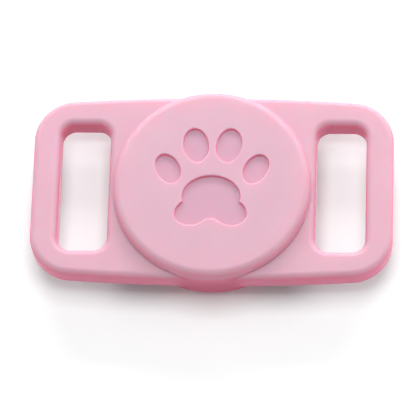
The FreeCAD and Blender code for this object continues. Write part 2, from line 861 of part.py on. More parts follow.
def cell_gasket():
    wall = SHEET.cell_wall
    gap = SHEET.seat_gap / 2
    outer = CELL_RADIUS - wall - gap
    inner = outer - SHEET.gasket_wall
    shoulder = CELL_FRONT - SHEET.cell_crimp - wall * 2
    return lathe("cell_gasket", [
        Step(inner, CELL_BACK + wall + gap),
        Step(outer, CELL_BACK + wall + gap),
        Step(outer, shoulder - gap),
        Step(outer - SHEET.cell_crimp, shoulder + SHEET.cell_crimp - gap),
        Step(inner - SHEET.cell_cap_step, shoulder + SHEET.cell_crimp - gap),
        Step(inner - SHEET.cell_cap_step, shoulder - gap),
        Step(inner, shoulder - gap),
    ])


def cell_cap():
    wall = SHEET.cell_wall
    gap = SHEET.seat_gap / 2
    inner = CELL_RADIUS - wall - SHEET.gasket_wall - gap * 2
    shoulder = CELL_FRONT - SHEET.cell_crimp - wall * 2 - gap * 2
    corner = SHEET.cell_round
    face = inner - SHEET.cell_cap_step - gap
    return lathe("cell_cap", [
        Step(ZERO, CELL_BACK + wall + gap),
        Step(inner, CELL_BACK + wall + gap),
        Step(inner, shoulder),
        Step(face, shoulder),
        Step(face, CELL_FRONT - corner),
        Step(face - corner, CELL_FRONT, corner),
        Step(ZERO, CELL_FRONT),
    ])


# Battery door

def battery_door():
    """The dished steel cover with a turned-in rim."""
    sheet = SHEET.door_sheet
    bulge = SHEET.door_bulge
    dish = (DOOR_RADIUS * DOOR_RADIUS + bulge * bulge) / (bulge * 2)
    inside = DOOR_RADIUS - sheet
    rim = TAG_BACK + bulge
    return lathe("battery_door", [
        Step(ZERO, TAG_BACK),
        Step(DOOR_RADIUS, rim, dish),
        Step(DOOR_RADIUS, rim + SHEET.door_flange),
        Step(inside, rim + SHEET.door_flange),
        Step(inside, rim + sheet),
        Step(ZERO, TAG_BACK + sheet, dish, RIGHT),
    ])


def door_lock_ring():
    bottom = CELL_BACK + SHEET.seat_gap
    lug_back = LEDGE_FRONT + SHEET.seat_gap
    lug_front = lug_back + SHEET.lug_thickness
    body = lathe("door_lock_ring", [
        Step(RING_INNER, bottom),
        Step(RING_OUTER, bottom),
        Step(RING_OUTER, lug_front),
        Step(RING_INNER, lug_front),
    ])
    sketch = new_sketch(body, "lug_outline", "XY_Plane", lug_back)
    reach = RING_OUTER + SHEET.lug_reach
    draw_sector(sketch, RING_INNER, reach, -SHEET.lug_half_angle, SHEET.lug_half_angle)
    lug = pad(body, "lug", sketch, SHEET.lug_thickness)
    ring_of(body, "lugs", lug, LUG_COUNT)
    return body


# Check and write

def check(items):
    """Stop when an object of the document failed or a sub-part is not sound."""
    DOC.recompute()
    for item in DOC.Objects:
        if {"Invalid", "Error"} & set(item.State):
            raise RuntimeError(f"{item.Name} failed: {item.State}")
    for item in items:
        if item.Shape.isNull() or not item.Shape.isValid() or not item.Shape.Solids:
            raise RuntimeError(f"{item.Label} has no sound solid")


def main():
    items = [
        silicone_sleeve(), retaining_lip(),
        tag_front_cover(), tag_rear_shell(), seam_seal(),
        circuit_board(), radio_shield(), board_chips(), antenna_strip(),
        magnet_cup(), speaker_magnet(), voice_coil(),
        negative_contact(),
        positive_contact("positive_contact_left", -1),
        positive_contact("positive_contact_right", 1),
        cell_can(), cell_cap(), cell_gasket(),
        battery_door(), door_lock_ring(),
    ]
    check(items)
    os.makedirs("parts", exist_ok=True)
    for item in items:
        item.Shape.exportStep(f"parts/{item.Label}.step")
        print(f"{item.Label}: {item.Shape.Volume:.1f} mm3 {len(item.Shape.Solids)} solid")


main()
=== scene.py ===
"""Tracker tag holder: a soft collar sleeve round a coin-cell tag, dressed and set in a studio.

The sleeve is modelled here as the one moulding that it is. The tag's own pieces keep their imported
meshes and get their finishes. Sizes are in millimetres until a mesh is done, and then in metres.
"""

import logging
import math
from collections.abc import Iterable, Sequence
from dataclasses import dataclass, field
from enum import Enum

import bmesh
import bpy
from bmesh.types import BMEdge, BMesh, BMVert
from bpy.types import Material, Node, NodeSocket, NodeTree, Object, World
from mathutils import Matrix, Vector


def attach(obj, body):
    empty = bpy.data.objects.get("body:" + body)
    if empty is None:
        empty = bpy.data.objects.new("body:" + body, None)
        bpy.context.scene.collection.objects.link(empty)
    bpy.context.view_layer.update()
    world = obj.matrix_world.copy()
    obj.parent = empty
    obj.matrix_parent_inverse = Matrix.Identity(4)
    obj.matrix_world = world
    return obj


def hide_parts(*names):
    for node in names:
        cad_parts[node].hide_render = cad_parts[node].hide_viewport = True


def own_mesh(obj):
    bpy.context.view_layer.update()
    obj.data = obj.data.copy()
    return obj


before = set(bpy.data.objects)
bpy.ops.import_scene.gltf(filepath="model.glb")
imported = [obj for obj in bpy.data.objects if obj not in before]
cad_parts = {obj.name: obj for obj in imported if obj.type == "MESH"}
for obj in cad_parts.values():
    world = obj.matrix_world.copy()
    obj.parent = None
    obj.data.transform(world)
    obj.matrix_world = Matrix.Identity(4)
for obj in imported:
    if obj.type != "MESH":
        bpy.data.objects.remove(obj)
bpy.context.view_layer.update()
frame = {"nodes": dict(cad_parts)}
LOG = logging.getLogger("tag_holder")
MM = 0.001
WELD = 0.0005
NEAR = 0.01
ARC_PROFILE = 0.5
QUARTER_TURN = 90
Colour = tuple[float, float, float]
Span = tuple[float, float]
WHITE: Colour = (1.0, 1.0, 1.0)


class Body(Enum):
    """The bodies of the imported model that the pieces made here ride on."""

    TAG = "tag"
    SLEEVE = "sleeve"


class Cut(Enum):
    """What a tool solid does to the solid that it meets."""

    AWAY = "DIFFERENCE"
    JOIN = "UNION"


class Rounding(Enum):
    """What a round is made on."""

    CORNERS = "VERTICES"
    EDGES = "EDGES"


class Side(Enum):
    """The two sides of the drum, as signs along X."""

    LEFT = -1
    RIGHT = 1


# Mesh work


def flat_face(corners: Iterable[Sequence[float]]) -> BMesh:
    """Start a mesh from one flat face.

    Args:
        corners: The face's corners in order, in millimetres.

    Returns:
        A new mesh with that face.
    """
    bm = bmesh.new()
    bm.faces.new([bm.verts.new(corner) for corner in corners])
    bm.normal_update()
    return bm


def round_off(
    bm: BMesh, kind: Rounding, parts: Iterable[BMVert | BMEdge], radius: float, segments: int
) -> None:
    """Round corners of a flat outline, or edges of a solid.

    Args:
        bm: The mesh that holds them.
        kind: Whether corners or edges are rounded.
        parts: The corners or edges to round.
        radius: The radius of the round, on a square corner or edge.
        segments: How many chords or strips make the round.
    """
    bmesh.ops.bevel(
        bm, geom=list(parts), offset=radius, offset_type="OFFSET", segments=segments,
        profile=ARC_PROFILE, affect=kind.value, material=-1, clamp_overlap=False,
    )


def raise_faces(bm: BMesh, height: float) -> None:
    """Extrude all the faces of a flat mesh straight up.

    Args:
        bm: The mesh to thicken.
        height: How far the new faces stand above the old ones.
    """
    made = bmesh.ops.extrude_face_region(bm, geom=bm.faces[:], use_keep_orig=True)["geom"]
    tops = [item for item in made if isinstance(item, BMVert)]
    bmesh.ops.translate(bm, verts=tops, vec=(0, 0, height))


def level_edges(bm: BMesh, level: float) -> list[BMEdge]:
    """Find the edges that lie at a level and bound an upright wall there.

    Args:
        bm: The mesh to search.
        level: The height of the edges.

    Returns:
        Those edges.
    """
    return [
        edge for edge in bm.edges
        if all(abs(vert.co.z - level) < NEAR for vert in edge.verts)
        and any(abs(face.normal.z) < NEAR for face in edge.link_faces)
    ]


def close_holes(bm: BMesh) -> None:
    """Fill each open rim of a mesh with one face."""
    bmesh.ops.holes_fill(bm, edges=[edge for edge in bm.edges if edge.is_boundary], sides=0)


def in_fixed_order(bm: BMesh) -> None:
    """Sort a mesh's points and faces by place, because a boolean's order changes from run to run.

    Args:
        bm: The mesh to sort.
    """
    by_place = sorted(bm.verts, key=lambda vert: tuple(vert.co))
    for index, vert in enumerate(by_place):
        vert.index = index
    bm.verts.sort()
    bm.verts.index_update()
    by_points = sorted(bm.faces, key=lambda face: sorted(vert.index for vert in face.verts))
    for index, face in enumerate(by_points):
        face.index = index
    bm.faces.sort()


def as_object(name: str, bm: BMesh, weld: float = WELD) -> Object:
    """Turn a finished bmesh into an object of the scene, with its faces outwards.

    Args:
        name: The object's name.
        bm: The mesh, which is freed.
        weld: How near two points are to be one.

    Returns:
        The new object.
    """
    bmesh.ops.remove_doubles(bm, verts=bm.verts[:], dist=weld)
    bmesh.ops.recalc_face_normals(bm, faces=bm.faces[:])
    mesh = bpy.data.meshes.new(name)
    bm.to_mesh(mesh)
    bm.free()
    made = bpy.data.objects.new(name, mesh)
    bpy.context.scene.collection.objects.link(made)
    return made


def combine(base: Object, cut: Cut, tools: Sequence[Object]) -> Object:
    """Cut tool solids away from a solid, or join them to it, and remove the tools.

    Args:
        base: The solid that is kept.
        cut: What the tools do to it.
        tools: The solids that are used up.

    Returns:
        The base, with its new mesh.
    """
    for tool in tools:
        step = base.modifiers.new(tool.name, "BOOLEAN")
        step.operation = cut.value
        step.solver = "EXACT"
        step.object = tool
    graph = bpy.context.evaluated_depsgraph_get()
    old, mesh = base.data, bpy.data.meshes.new_from_object(base.evaluated_get(graph))
    base.modifiers.clear()
    base.data = mesh
    bpy.data.meshes.remove(old)
    for tool in tools:
        bpy.data.meshes.remove(tool.data)
    return base


# Node work


@dataclass
class Sheet:
    """A node tree with short ways to add and join its nodes."""

    tree: NodeTree

    def add(self, kind: str, values: dict[str | int, object] | None = None, **settings: object) -> Node:
        """Add a node.

        Args:
            kind: The node's type.
            values: The inputs to set, by name or number; a socket among them is joined.
            settings: The node's own settings.

        Returns:
            The new node.
        """
        node = self.tree.nodes.new(kind)
        for name, value in settings.items():
            setattr(node, name, value)
        for key, value in (values or {}).items():
            socket = node.inputs[key]
            if isinstance(value, NodeSocket):
                self.tree.links.new(value, socket)
            else:
                socket.default_value = (*value, 1.0) if socket.type == "RGBA" else value
        return node

    def math(self, operation: str, *values: float | NodeSocket, clamp: bool = False) -> NodeSocket:
        """Add a Math node and return its result."""
        return self.add(
            "ShaderNodeMath", dict(enumerate(values)), operation=operation, use_clamp=clamp
        ).outputs[0]

    def spread(
        self, value: NodeSocket, low: float, high: float, start: float = 0.0, stop: float = 1.0
    ) -> NodeSocket:
        """Spread a value from the range low..high smoothly over start..stop.

        Args:
            value: The value to spread.
            low: Where the result is start.
            high: Where the result is stop.
            start: The result at low.
            stop: The result at high.

        Returns:
            The spread value.
        """
        return self.add(
            "ShaderNodeMapRange", {0: value, 1: low, 2: high, 3: start, 4: stop},
            interpolation_type="SMOOTHSTEP",
        ).outputs[0]

    def mix(
        self, share: float | NodeSocket, first: Colour | NodeSocket, second: Colour | NodeSocket
    ) -> NodeSocket:
        """Mix two colours, with the sockets that a Mix node keeps for colours.

        Args:
            share: How much of the second colour shows.
            first: The colour or socket below.
            second: The colour or socket above.

        Returns:
            The mixed colour.
        """
        return self.add(
            "ShaderNodeMix", {0: share, 6: first, 7: second}, data_type="RGBA"
        ).outputs[2]


def empty_sheet(owner: Material | World) -> Sheet:
    """Switch on the nodes of a material or a world, and clear them.

    Args:
        owner: The material or the world.

    Returns:
        Its empty node tree.
    """
    owner.use_nodes = True
    owner.node_tree.nodes.clear()
    return Sheet(owner.node_tree)


class Effect:
    """A surface effect that several finishes share, kept as one node group.

    The first use of an effect builds its group, and later uses place the same group again.
    """

    name: str = ""
    inputs: dict[str, str] = {}
    outputs: dict[str, str] = {}

    def draw(self, sheet: Sheet, given: Node) -> dict[str, NodeSocket]:
        """Draw the effect's nodes.

        Args:
            sheet: The group's nodes.
            given: The group's inputs.

        Returns:
            A socket for each output.
        """
        raise NotImplementedError

    def group(self) -> NodeTree:
        """Build the effect's node group at its first use, and find it later.

        Returns:
            The group.
        """
        found = bpy.data.node_groups.get(self.name)
        if found:
            return found
        tree = bpy.data.node_groups.new(self.name, "ShaderNodeTree")
        for way, sockets in (("INPUT", self.inputs), ("OUTPUT", self.outputs)):
            for name, kind in sockets.items():
                tree.interface.new_socket(name, in_out=way, socket_type=kind)
        sheet = Sheet(tree)
        results = self.draw(sheet, sheet.add("NodeGroupInput"))
        sheet.add("NodeGroupOutput", results)
        return tree

    def place(self, sheet: Sheet, **values: object) -> Node:
        """Place the effect's group in a material, with its inputs by name."""
        return sheet.add("ShaderNodeGroup", values, node_tree=self.group())


FLOAT = "NodeSocketFloat"
COLOUR = "NodeSocketColor"
VECTOR = "NodeSocketVector"


class Grain(Effect):
    """The fine matte grain that a mould leaves, as a height."""

    name = "mould_grain"
    inputs = {"Place": VECTOR, "Scale": FLOAT}
    outputs = {"Height": FLOAT}
    detail: float = 3.0
    coarser: float = 5.0
    coarse_height: float = 0.6

    def draw(self, sheet: Sheet, given: Node) -> dict[str, NodeSocket]:
        """Lay a fine noise over a coarser one.

        Args:
            sheet: The group's nodes.
            given: The group's inputs.

        Returns:
            A socket for each output.
        """
        place, scale = given.outputs["Place"], given.outputs["Scale"]
        fine = sheet.add("ShaderNodeTexNoise", {"Vector": place, "Scale": scale, "Detail": self.detail})
        wider = sheet.math("DIVIDE", scale, self.coarser)
        wide = sheet.add("ShaderNodeTexNoise", {"Vector": place, "Scale": wider})
        height = sheet.math("MULTIPLY_ADD", wide.outputs[0], self.coarse_height, fine.outputs[0])
        return {"Height": height}


class Mottle(Effect):
    """A soft uneven tone, between two colours."""

    name = "soft_mottle"
    inputs = {"Place": VECTOR, "Scale": FLOAT, "Light": COLOUR, "Deep": COLOUR}
    outputs = {"Color": COLOUR, "Value": FLOAT}
    detail: float = 4.0
    raggedness: float = 0.55
    contrast: Span = (0.32, 0.68)

    def draw(self, sheet: Sheet, given: Node) -> dict[str, NodeSocket]:
        """Spread a cloudy noise over the two colours.

        Args:
            sheet: The group's nodes.
            given: The group's inputs.

        Returns:
            A socket for each output.
        """
        place, scale = given.outputs["Place"], given.outputs["Scale"]
        cloud = sheet.add(
            "ShaderNodeTexNoise",
            {"Vector": place, "Scale": scale, "Detail": self.detail, "Roughness": self.raggedness},
        )
        share = sheet.spread(cloud.outputs[0], *self.contrast)
        return {"Color": sheet.mix(share, given.outputs["Deep"], given.outputs["Light"]), "Value": share}


class Specks(Effect):
    """Sparse specks, such as lint on rubber or grit in a casting, as a mask."""

    name = "sparse_specks"
    inputs = {"Place": VECTOR, "Scale": FLOAT, "Radius": FLOAT, "Share": FLOAT}
    outputs = {"Mask": FLOAT}

    def draw(self, sheet: Sheet, given: Node) -> dict[str, NodeSocket]:
        """Keep a share of the cells of a cell pattern, each with a small dot.

        Args:
            sheet: The group's nodes.
            given: The group's inputs.

        Returns:
            A socket for each output.
        """
        cells = sheet.add(
            "ShaderNodeTexVoronoi", {"Vector": given.outputs["Place"], "Scale": given.outputs["Scale"]}
        )
        near = sheet.math("LESS_THAN", cells.outputs["Distance"], given.outputs["Radius"])
        tone = sheet.add("ShaderNodeSeparateColor", {0: cells.outputs["Color"]})
        kept = sheet.math("LESS_THAN", tone.outputs[0], given.outputs["Share"])
        return {"Mask": sheet.math("MULTIPLY", near, kept)}


class Scuffs(Effect):
    """Faint rubbed patches and hairlines from handling, as a mask."""

    name = "handling_scuffs"
    inputs = {"Place": VECTOR, "Scale": FLOAT}
    outputs = {"Mask": FLOAT}
    streak_turn: tuple[float, float, float] = (0.3, 0.2, 0.7)
    streak_stretch: tuple[float, float, float] = (1.0, 14.0, 5.0)
    streak_detail: float = 6.0
    streak_contrast: Span = (0.52, 0.72)
    patch_detail: float = 2.0
    patch_contrast: Span = (0.4, 0.65)

    def draw(self, sheet: Sheet, given: Node) -> dict[str, NodeSocket]:
        """Draw a noise out into streaks, and keep them inside soft patches.

        Args:
            sheet: The group's nodes.
            given: The group's inputs.

        Returns:
            A socket for each output.
        """
        place, scale = given.outputs["Place"], given.outputs["Scale"]
        turned = sheet.add(
            "ShaderNodeMapping",
            {"Vector": place, "Rotation": self.streak_turn, "Scale": self.streak_stretch},
        )
        streaks = sheet.add(
            "ShaderNodeTexNoise",
            {"Vector": turned.outputs[0], "Scale": scale, "Detail": self.streak_detail},
        )
        patches = sheet.add(
            "ShaderNodeTexNoise", {"Vector": place, "Scale": scale, "Detail": self.patch_detail}
        )
        lines = sheet.spread(streaks.outputs[0], *self.streak_contrast)
        inside = sheet.spread(patches.outputs[0], *self.patch_contrast)
        return {"Mask": sheet.math("MULTIPLY", lines, inside)}


class Turning(Effect):
    """Fine concentric lines round the upright axis, from turning or winding."""

    name = "turning_lines"
    inputs = {"Place": VECTOR, "Lines": FLOAT}
    outputs = {"Height": FLOAT}
    detail: float = 4.0

    def draw(self, sheet: Sheet, given: Node) -> dict[str, NodeSocket]:
        """Run a one-way noise along the distance from the axis.

        Args:
            sheet: The group's nodes.
            given: The group's inputs.

        Returns:
            A socket for each output.
        """
        parts = sheet.add("ShaderNodeSeparateXYZ", {0: given.outputs["Place"]})
        across = [sheet.math("MULTIPLY", parts.outputs[axis], parts.outputs[axis]) for axis in range(2)]
        radius = sheet.math("SQRT", sheet.math("ADD", *across))
        reach = sheet.math("ADD", radius, parts.outputs[2])
        lines = sheet.add(
            "ShaderNodeTexNoise", {"W": reach, "Scale": given.outputs["Lines"], "Detail": self.detail},
            noise_dimensions="1D",
        )
        return {"Height": lines.outputs[0]}


GRAIN, MOTTLE, SPECKS, SCUFFS, TURNING = Grain(), Mottle(), Specks(), Scuffs(), Turning()


@dataclass(frozen=True)
class Dots:
    """Specks of a finish: the scale of their pattern, their radius in it, and the share that is kept."""

    scale: float
    radius: float
    share: float

    def mask(self, sheet: Sheet, place: NodeSocket) -> NodeSocket:
        """Scatter the specks over a surface: 1 on the specks, and 0 beside them."""
        return SPECKS.place(
            sheet, Place=place, Scale=self.scale, Radius=self.radius, Share=self.share
        ).outputs[0]


@dataclass(frozen=True)
class Relief:
    """Fine relief of a finish: the scale of its pattern, its depth in metres, and how much of it shows."""

    scale: float
    depth: float
    strength: float

    def normal(self, sheet: Sheet, height: NodeSocket) -> NodeSocket:
        """Turn a height over the surface into a normal."""
        return sheet.add(
            "ShaderNodeBump", {"Height": height, "Distance": self.depth, "Strength": self.strength}
        ).outputs[0]

    def mould(self, sheet: Sheet, place: NodeSocket) -> NodeSocket:
        """Raise a mould's grain, as a normal."""
        return self.normal(sheet, GRAIN.place(sheet, Place=place, Scale=self.scale).outputs[0])


@dataclass(frozen=True)
class Finish:
    """What every finish has: its name, the record's slot for it, and its two close tones."""

    name: str
    slot: str
    light: Colour
    deep: Colour

    def shader(self, sheet: Sheet, place: NodeSocket) -> dict[str, object]:
        """Draw the finish's nodes.

        Args:
            sheet: The material's nodes.
            place: The object coordinates.

        Returns:
            The surface shader's inputs by name.
        """
        raise NotImplementedError

    def tone(self, sheet: Sheet, place: NodeSocket, scale: float) -> Node:
        """Mottle the finish's two tones, with a colour and a value."""
        return MOTTLE.place(sheet, Place=place, Scale=scale, Light=self.light, Deep=self.deep)

    def material(self) -> Material:
        """Make the finish's material at its first use, and find it later.

        Returns:
            The material.
        """
        found = bpy.data.materials.get(self.name)
        if found:
            return found
        made = bpy.data.materials.new(self.name)
        sheet = empty_sheet(made)
        place = sheet.add("ShaderNodeTexCoord").outputs["Object"]
        surface = sheet.add("ShaderNodeBsdfPrincipled", self.shader(sheet, place))
        sheet.add("ShaderNodeOutputMaterial", {"Surface": surface.outputs[0]})
        return made


@dataclass(frozen=True)
class SoftSilicone(Finish):
    """Matte silicone rubber with lint: a mottled pale pink on its faces and rims, and painted shade as a
    deeper pink on its upright walls, in the print and on the drum's low side.

    Levels above the table and distances from the drum's axis are in metres.
    """

    # Painted shade: a deeper pink painted on the upright walls and in the print, standing in for the shade
    # there.
    wall: Colour = (0.93, 0.27, 0.42)
    painted_shade_tilt: Span = (0.98, 0.45)
    painted_shade_depth: Span = (-0.0004, 0.0013)
    # Painted shade: a deeper pink still, painted on the drum's low side near the table where it lies in
    # shadow.
    foot: Colour = (0.78, 0.165, 0.275)
    low_shade_level: Span = (0.0095, 0.004)
    low_shade_edge: Span = (0.0194, 0.0202)
    drum_face: float = 0.0105
    drum_edge: Span = (0.0188, 0.0196)
    plate_face: float = 0.0084
    print_floor: float = 0.0099
    print_edge: Span = (0.0145, 0.0155)
    print_shade_share: float = 0.3
    bounce: Colour = (0.42, 0.22, 0.28)
    bounce_tilt: Span = (0.9, 0.3)
    mottle: float = 120.0
    lint: Colour = (0.93, 0.84, 0.87)
    lint_dots: Dots = Dots(scale=260.0, radius=0.022, share=0.07)
    lint_cover: float = 0.5
    grain: Relief = Relief(scale=5200.0, depth=0.00002, strength=0.25)
    roughness: Span = (0.5, 0.6)
    index: float = 1.41
    specular: float = 0.3
    dust: float = 0.7
    dust_roughness: float = 0.22
    dust_tint: Colour = (1.0, 0.9, 0.94)
    glow_weight: float = 0.7
    glow_radius: Colour = (1.0, 0.2, 0.3)
    glow_reach: float = 0.003

    def shader(self, sheet: Sheet, place: NodeSocket) -> dict[str, object]:
        """Mottle the pigment, paint shade on the walls and in the print as a deeper pink, add lint, and let
        the mottle set the gloss.

        The plate's walls and back throw a calmer tone on the table than they show, so that the table seen
        through the slots stays near white.

        Args:
            sheet: The material's nodes.
            place: The object coordinates.

        Returns:
            The surface shader's inputs by name.
        """
        tone = self.tone(sheet, place, self.mottle)
        lint = sheet.math("MULTIPLY", self.lint_dots.mask(sheet, place), self.lint_cover)
        radius = self._radius(sheet, place)
        facing = sheet.add("ShaderNodeTexCoord").outputs["Normal"]
        upward = sheet.add("ShaderNodeSeparateXYZ", {0: facing}).outputs[2]
        height = sheet.add("ShaderNodeSeparateXYZ", {0: place}).outputs[2]
        on_drum = sheet.spread(radius, *self.low_shade_edge, 1.0, 0.0)
        low = sheet.math("MULTIPLY", sheet.spread(height, *self.low_shade_level), on_drum)
        # Painted shade: the deep wall pink, deeper still on the drum's low side, mixed over the mottled
        # tone on the walls and in the print.
        wall = sheet.mix(low, self.wall, self.foot)
        shaded_tone = sheet.mix(self._painted_shade_share(sheet, height, radius, upward), tone.outputs[0], wall)
        shown = sheet.mix(lint, shaded_tone, self.lint)
        thrown = sheet.add("ShaderNodeLightPath").outputs["Is Diffuse Ray"]
        thrown_by_plate = sheet.math("MULTIPLY", thrown, sheet.spread(radius, *self.drum_edge))
        thrown_down = sheet.math("MULTIPLY", thrown_by_plate, sheet.spread(upward, *self.bounce_tilt))
        return {
            "Base Color": sheet.mix(thrown_down, shown, self.bounce),
            "Roughness": sheet.spread(tone.outputs["Value"], 0.0, 1.0, *self.roughness),
            "IOR": self.index,
            "Specular IOR Level": self.specular,
            "Sheen Weight": self.dust,
            "Sheen Roughness": self.dust_roughness,
            "Sheen Tint": self.dust_tint,
            "Subsurface Weight": self.glow_weight,
            "Subsurface Radius": self.glow_radius,
            "Subsurface Scale": self.glow_reach,
            "Normal": self.grain.mould(sheet, place),
        }

    @staticmethod
    def _radius(sheet: Sheet, place: NodeSocket) -> NodeSocket:
        """Return the distance from the drum's axis."""
        level = sheet.add("ShaderNodeVectorMath", {0: place, 1: (1.0, 1.0, 0.0)}, operation="MULTIPLY")
        return sheet.add("ShaderNodeVectorMath", {0: level.outputs[0]}, operation="LENGTH").outputs[1]

    def _painted_shade_share(
        self, sheet: Sheet, height: NodeSocket, radius: NodeSocket, upward: NodeSocket
    ) -> NodeSocket:
        """Find where the painted shade goes, away from the faces and their rims.

        Args:
            sheet: The material's nodes.
            height: The height above the table.
            radius: The distance from the drum's axis.
            upward: How far the surface faces up.

        Returns:
            0 on the faces and their rims, a little on the print's floor, and 1 on upright walls below the
            rims and in the print.
        """
        tilt = sheet.spread(sheet.math("ABSOLUTE", upward), *self.painted_shade_tilt)
        crown = sheet.spread(radius, *self.drum_edge, self.drum_face, self.plate_face)
        below = sheet.spread(sheet.math("SUBTRACT", crown, height), *self.painted_shade_depth)
        in_print = sheet.spread(radius, *self.print_edge, 1.0, 0.0)
        floor = sheet.spread(height, self.drum_face, self.print_floor, 0.0, self.print_shade_share)
        sunk = sheet.math("MULTIPLY", floor, in_print)
        steep = sheet.math("MULTIPLY", tilt, sheet.math("MAXIMUM", below, in_print))
        return sheet.math("MAXIMUM", steep, sunk)


@dataclass(frozen=True)
class MouldedPlastic(Finish):
    """Hard moulded plastic, from glossy to satin, with a faint ripple and handling scuffs."""

    roughness: Span
    mottle: float = 90.0
    scuffs: float = 160.0
    ripple: Relief = Relief(scale=900.0, depth=0.00003, strength=0.12)
    index: float = 1.53

    def shader(self, sheet: Sheet, place: NodeSocket) -> dict[str, object]:
        """Keep the colour nearly even, and let the scuffs dull the gloss.

        Args:
            sheet: The material's nodes.
            place: The object coordinates.

        Returns:
            The surface shader's inputs by name.
        """
        tone = self.tone(sheet, place, self.mottle)
        scuffs = SCUFFS.place(sheet, Place=place, Scale=self.scuffs)
        return {
            "Base Color": tone.outputs[0],
            "Roughness": sheet.spread(scuffs.outputs[0], 0.0, 1.0, *self.roughness),
            "IOR": self.index,
            "Normal": self.ripple.mould(sheet, place),
        }


@dataclass(frozen=True)
class Rubber(Finish):
    """Dull rubber for a seal or gasket, with dust in its grain."""

    dust: Colour = (0.32, 0.31, 0.3)
    dust_dots: Dots = Dots(scale=1500.0, radius=0.12, share=0.2)
    dust_cover: float = 0.4
    mottle: float = 700.0
    grain: Relief = Relief(scale=6000.0, depth=0.00003, strength=0.4)
    roughness: Span = (0.62, 0.8)

    def shader(self, sheet: Sheet, place: NodeSocket) -> dict[str, object]:
        """Lay specks of dust over a mottled dull base.

        Args:
            sheet: The material's nodes.
            place: The object coordinates.

        Returns:
            The surface shader's inputs by name.
        """
        tone = self.tone(sheet, place, self.mottle)
        dust = sheet.math("MULTIPLY", self.dust_dots.mask(sheet, place), self.dust_cover)
        return {
            "Base Color": sheet.mix(dust, tone.outputs[0], self.dust),
            "Roughness": sheet.spread(tone.outputs["Value"], 0.0, 1.0, *self.roughness),
            "Normal": self.grain.mould(sheet, place),
        }


@dataclass(frozen=True)
class SheetMetal(Finish):
    """Plated or rolled thin metal, with a soft roll and scuffs that dull it."""

    roughness: Span = (0.24, 0.42)
    mottle: float = 420.0
    scuffs: float = 420.0
    roll: Relief = Relief(scale=4200.0, depth=0.00002, strength=0.2)

    def shader(self, sheet: Sheet, place: NodeSocket) -> dict[str, object]:
        """Tarnish the colour a little, and let the scuffs set the gloss.

        Args:
            sheet: The material's nodes.
            place: The object coordinates.

        Returns:
            The surface shader's inputs by name.
        """
        tone = self.tone(sheet, place, self.mottle)
        scuffs = SCUFFS.place(sheet, Place=place, Scale=self.scuffs)
        return {
            "Base Color": tone.outputs[0],
            "Metallic": 1.0,
            "Roughness": sheet.spread(scuffs.outputs[0], 0.0, 1.0, *self.roughness),
            "Normal": self.roll.mould(sheet, place),
        }


@dataclass(frozen=True)
class TurnedMetal(Finish):
    """Metal with fine lines round the tag's axis: a brushed cover, or a coil's wound wire."""

    turned: Relief = Relief(scale=9000.0, depth=0.00001, strength=0.3)
    contrast: Span = (0.3, 0.7)
    scuffs: float = 130.0
    wear: float = 0.5
    roughness: Span = (0.22, 0.4)

    def shader(self, sheet: Sheet, place: NodeSocket) -> dict[str, object]:
        """Let the lines set the tone, the gloss and the relief alike.

        Args:
            sheet: The material's nodes.
            place: The object coordinates.

        Returns:
            The surface shader's inputs by name.
        """
        lines = TURNING.place(sheet, Place=place, Lines=self.turned.scale)
        scuffs = SCUFFS.place(sheet, Place=place, Scale=self.scuffs)
        share = sheet.spread(lines.outputs[0], *self.contrast)
        worn = sheet.math("MULTIPLY_ADD", scuffs.outputs[0], self.wear, share, clamp=True)
        return {
            "Base Color": sheet.mix(share, self.deep, self.light),
            "Metallic": 1.0,
            "Roughness": sheet.spread(worn, 0.0, 1.0, *self.roughness),
            "Normal": self.turned.normal(sheet, lines.outputs[0]),
        }


@dataclass(frozen=True)
class BoardMask(Finish):
    """Solder mask over copper: tracks show through as paler lines, pads as small bright dots."""

    track: Colour = (0.05, 0.2, 0.09)
    tracks: Relief = Relief(scale=900.0, depth=0.00002, strength=0.4)
    track_turn: float = 45.0
    track_width: float = 0.06
    track_blur: float = 0.2
    pad: Colour = (0.74, 0.6, 0.3)
    pads: Dots = Dots(scale=1100.0, radius=0.22, share=0.2)
    mottle: float = 500.0
    roughness: Span = (0.28, 0.4)

    def shader(self, sheet: Sheet, place: NodeSocket) -> dict[str, object]:
        """Draw tracks with a slanted brick pattern, and pads with sparse dots.

        Args:
            sheet: The material's nodes.
            place: The object coordinates.

        Returns:
            The surface shader's inputs by name.
        """
        slant = (0.0, 0.0, math.radians(self.track_turn))
        turned = sheet.add("ShaderNodeMapping", {"Vector": place, "Rotation": slant})
        tracks = sheet.add("ShaderNodeTexBrick", {
            "Vector": turned.outputs[0], "Scale": self.tracks.scale, "Mortar Size": self.track_width,
            "Mortar Smooth": self.track_blur,
        }).outputs["Fac"]
        tone = self.tone(sheet, place, self.mottle)
        pads = self.pads.mask(sheet, place)
        masked = sheet.mix(tracks, tone.outputs[0], self.track)
        return {
            "Base Color": sheet.mix(pads, masked, self.pad),
            "Metallic": pads,
            "Roughness": sheet.spread(tone.outputs["Value"], 0.0, 1.0, *self.roughness),
            "Normal": self.tracks.normal(sheet, tracks),
        }


@dataclass(frozen=True)
class Grit(Finish):
    """A dull moulded or pressed body with visible grit: chip packages and the magnet."""

    fleck: Colour
    metallic: float = 0.0
    flecks: Dots = Dots(scale=7000.0, radius=0.3, share=0.15)
    mottle: float = 1600.0
    grain: Relief = Relief(scale=9000.0, depth=0.00002, strength=0.35)
    roughness: Span = (0.42, 0.6)

    def shader(self, sheet: Sheet, place: NodeSocket) -> dict[str, object]:
        """Scatter paler flecks in a mottled dark body.

        Args:
            sheet: The material's nodes.
            place: The object coordinates.

        Returns:
            The surface shader's inputs by name.
        """
        tone = self.tone(sheet, place, self.mottle)
        flecks = self.flecks.mask(sheet, place)
        return {
            "Base Color": sheet.mix(flecks, tone.outputs[0], self.fleck),
            "Metallic": self.metallic,
            "Roughness": sheet.spread(tone.outputs["Value"], 0.0, 1.0, *self.roughness),
            "Normal": self.grain.mould(sheet, place),
        }


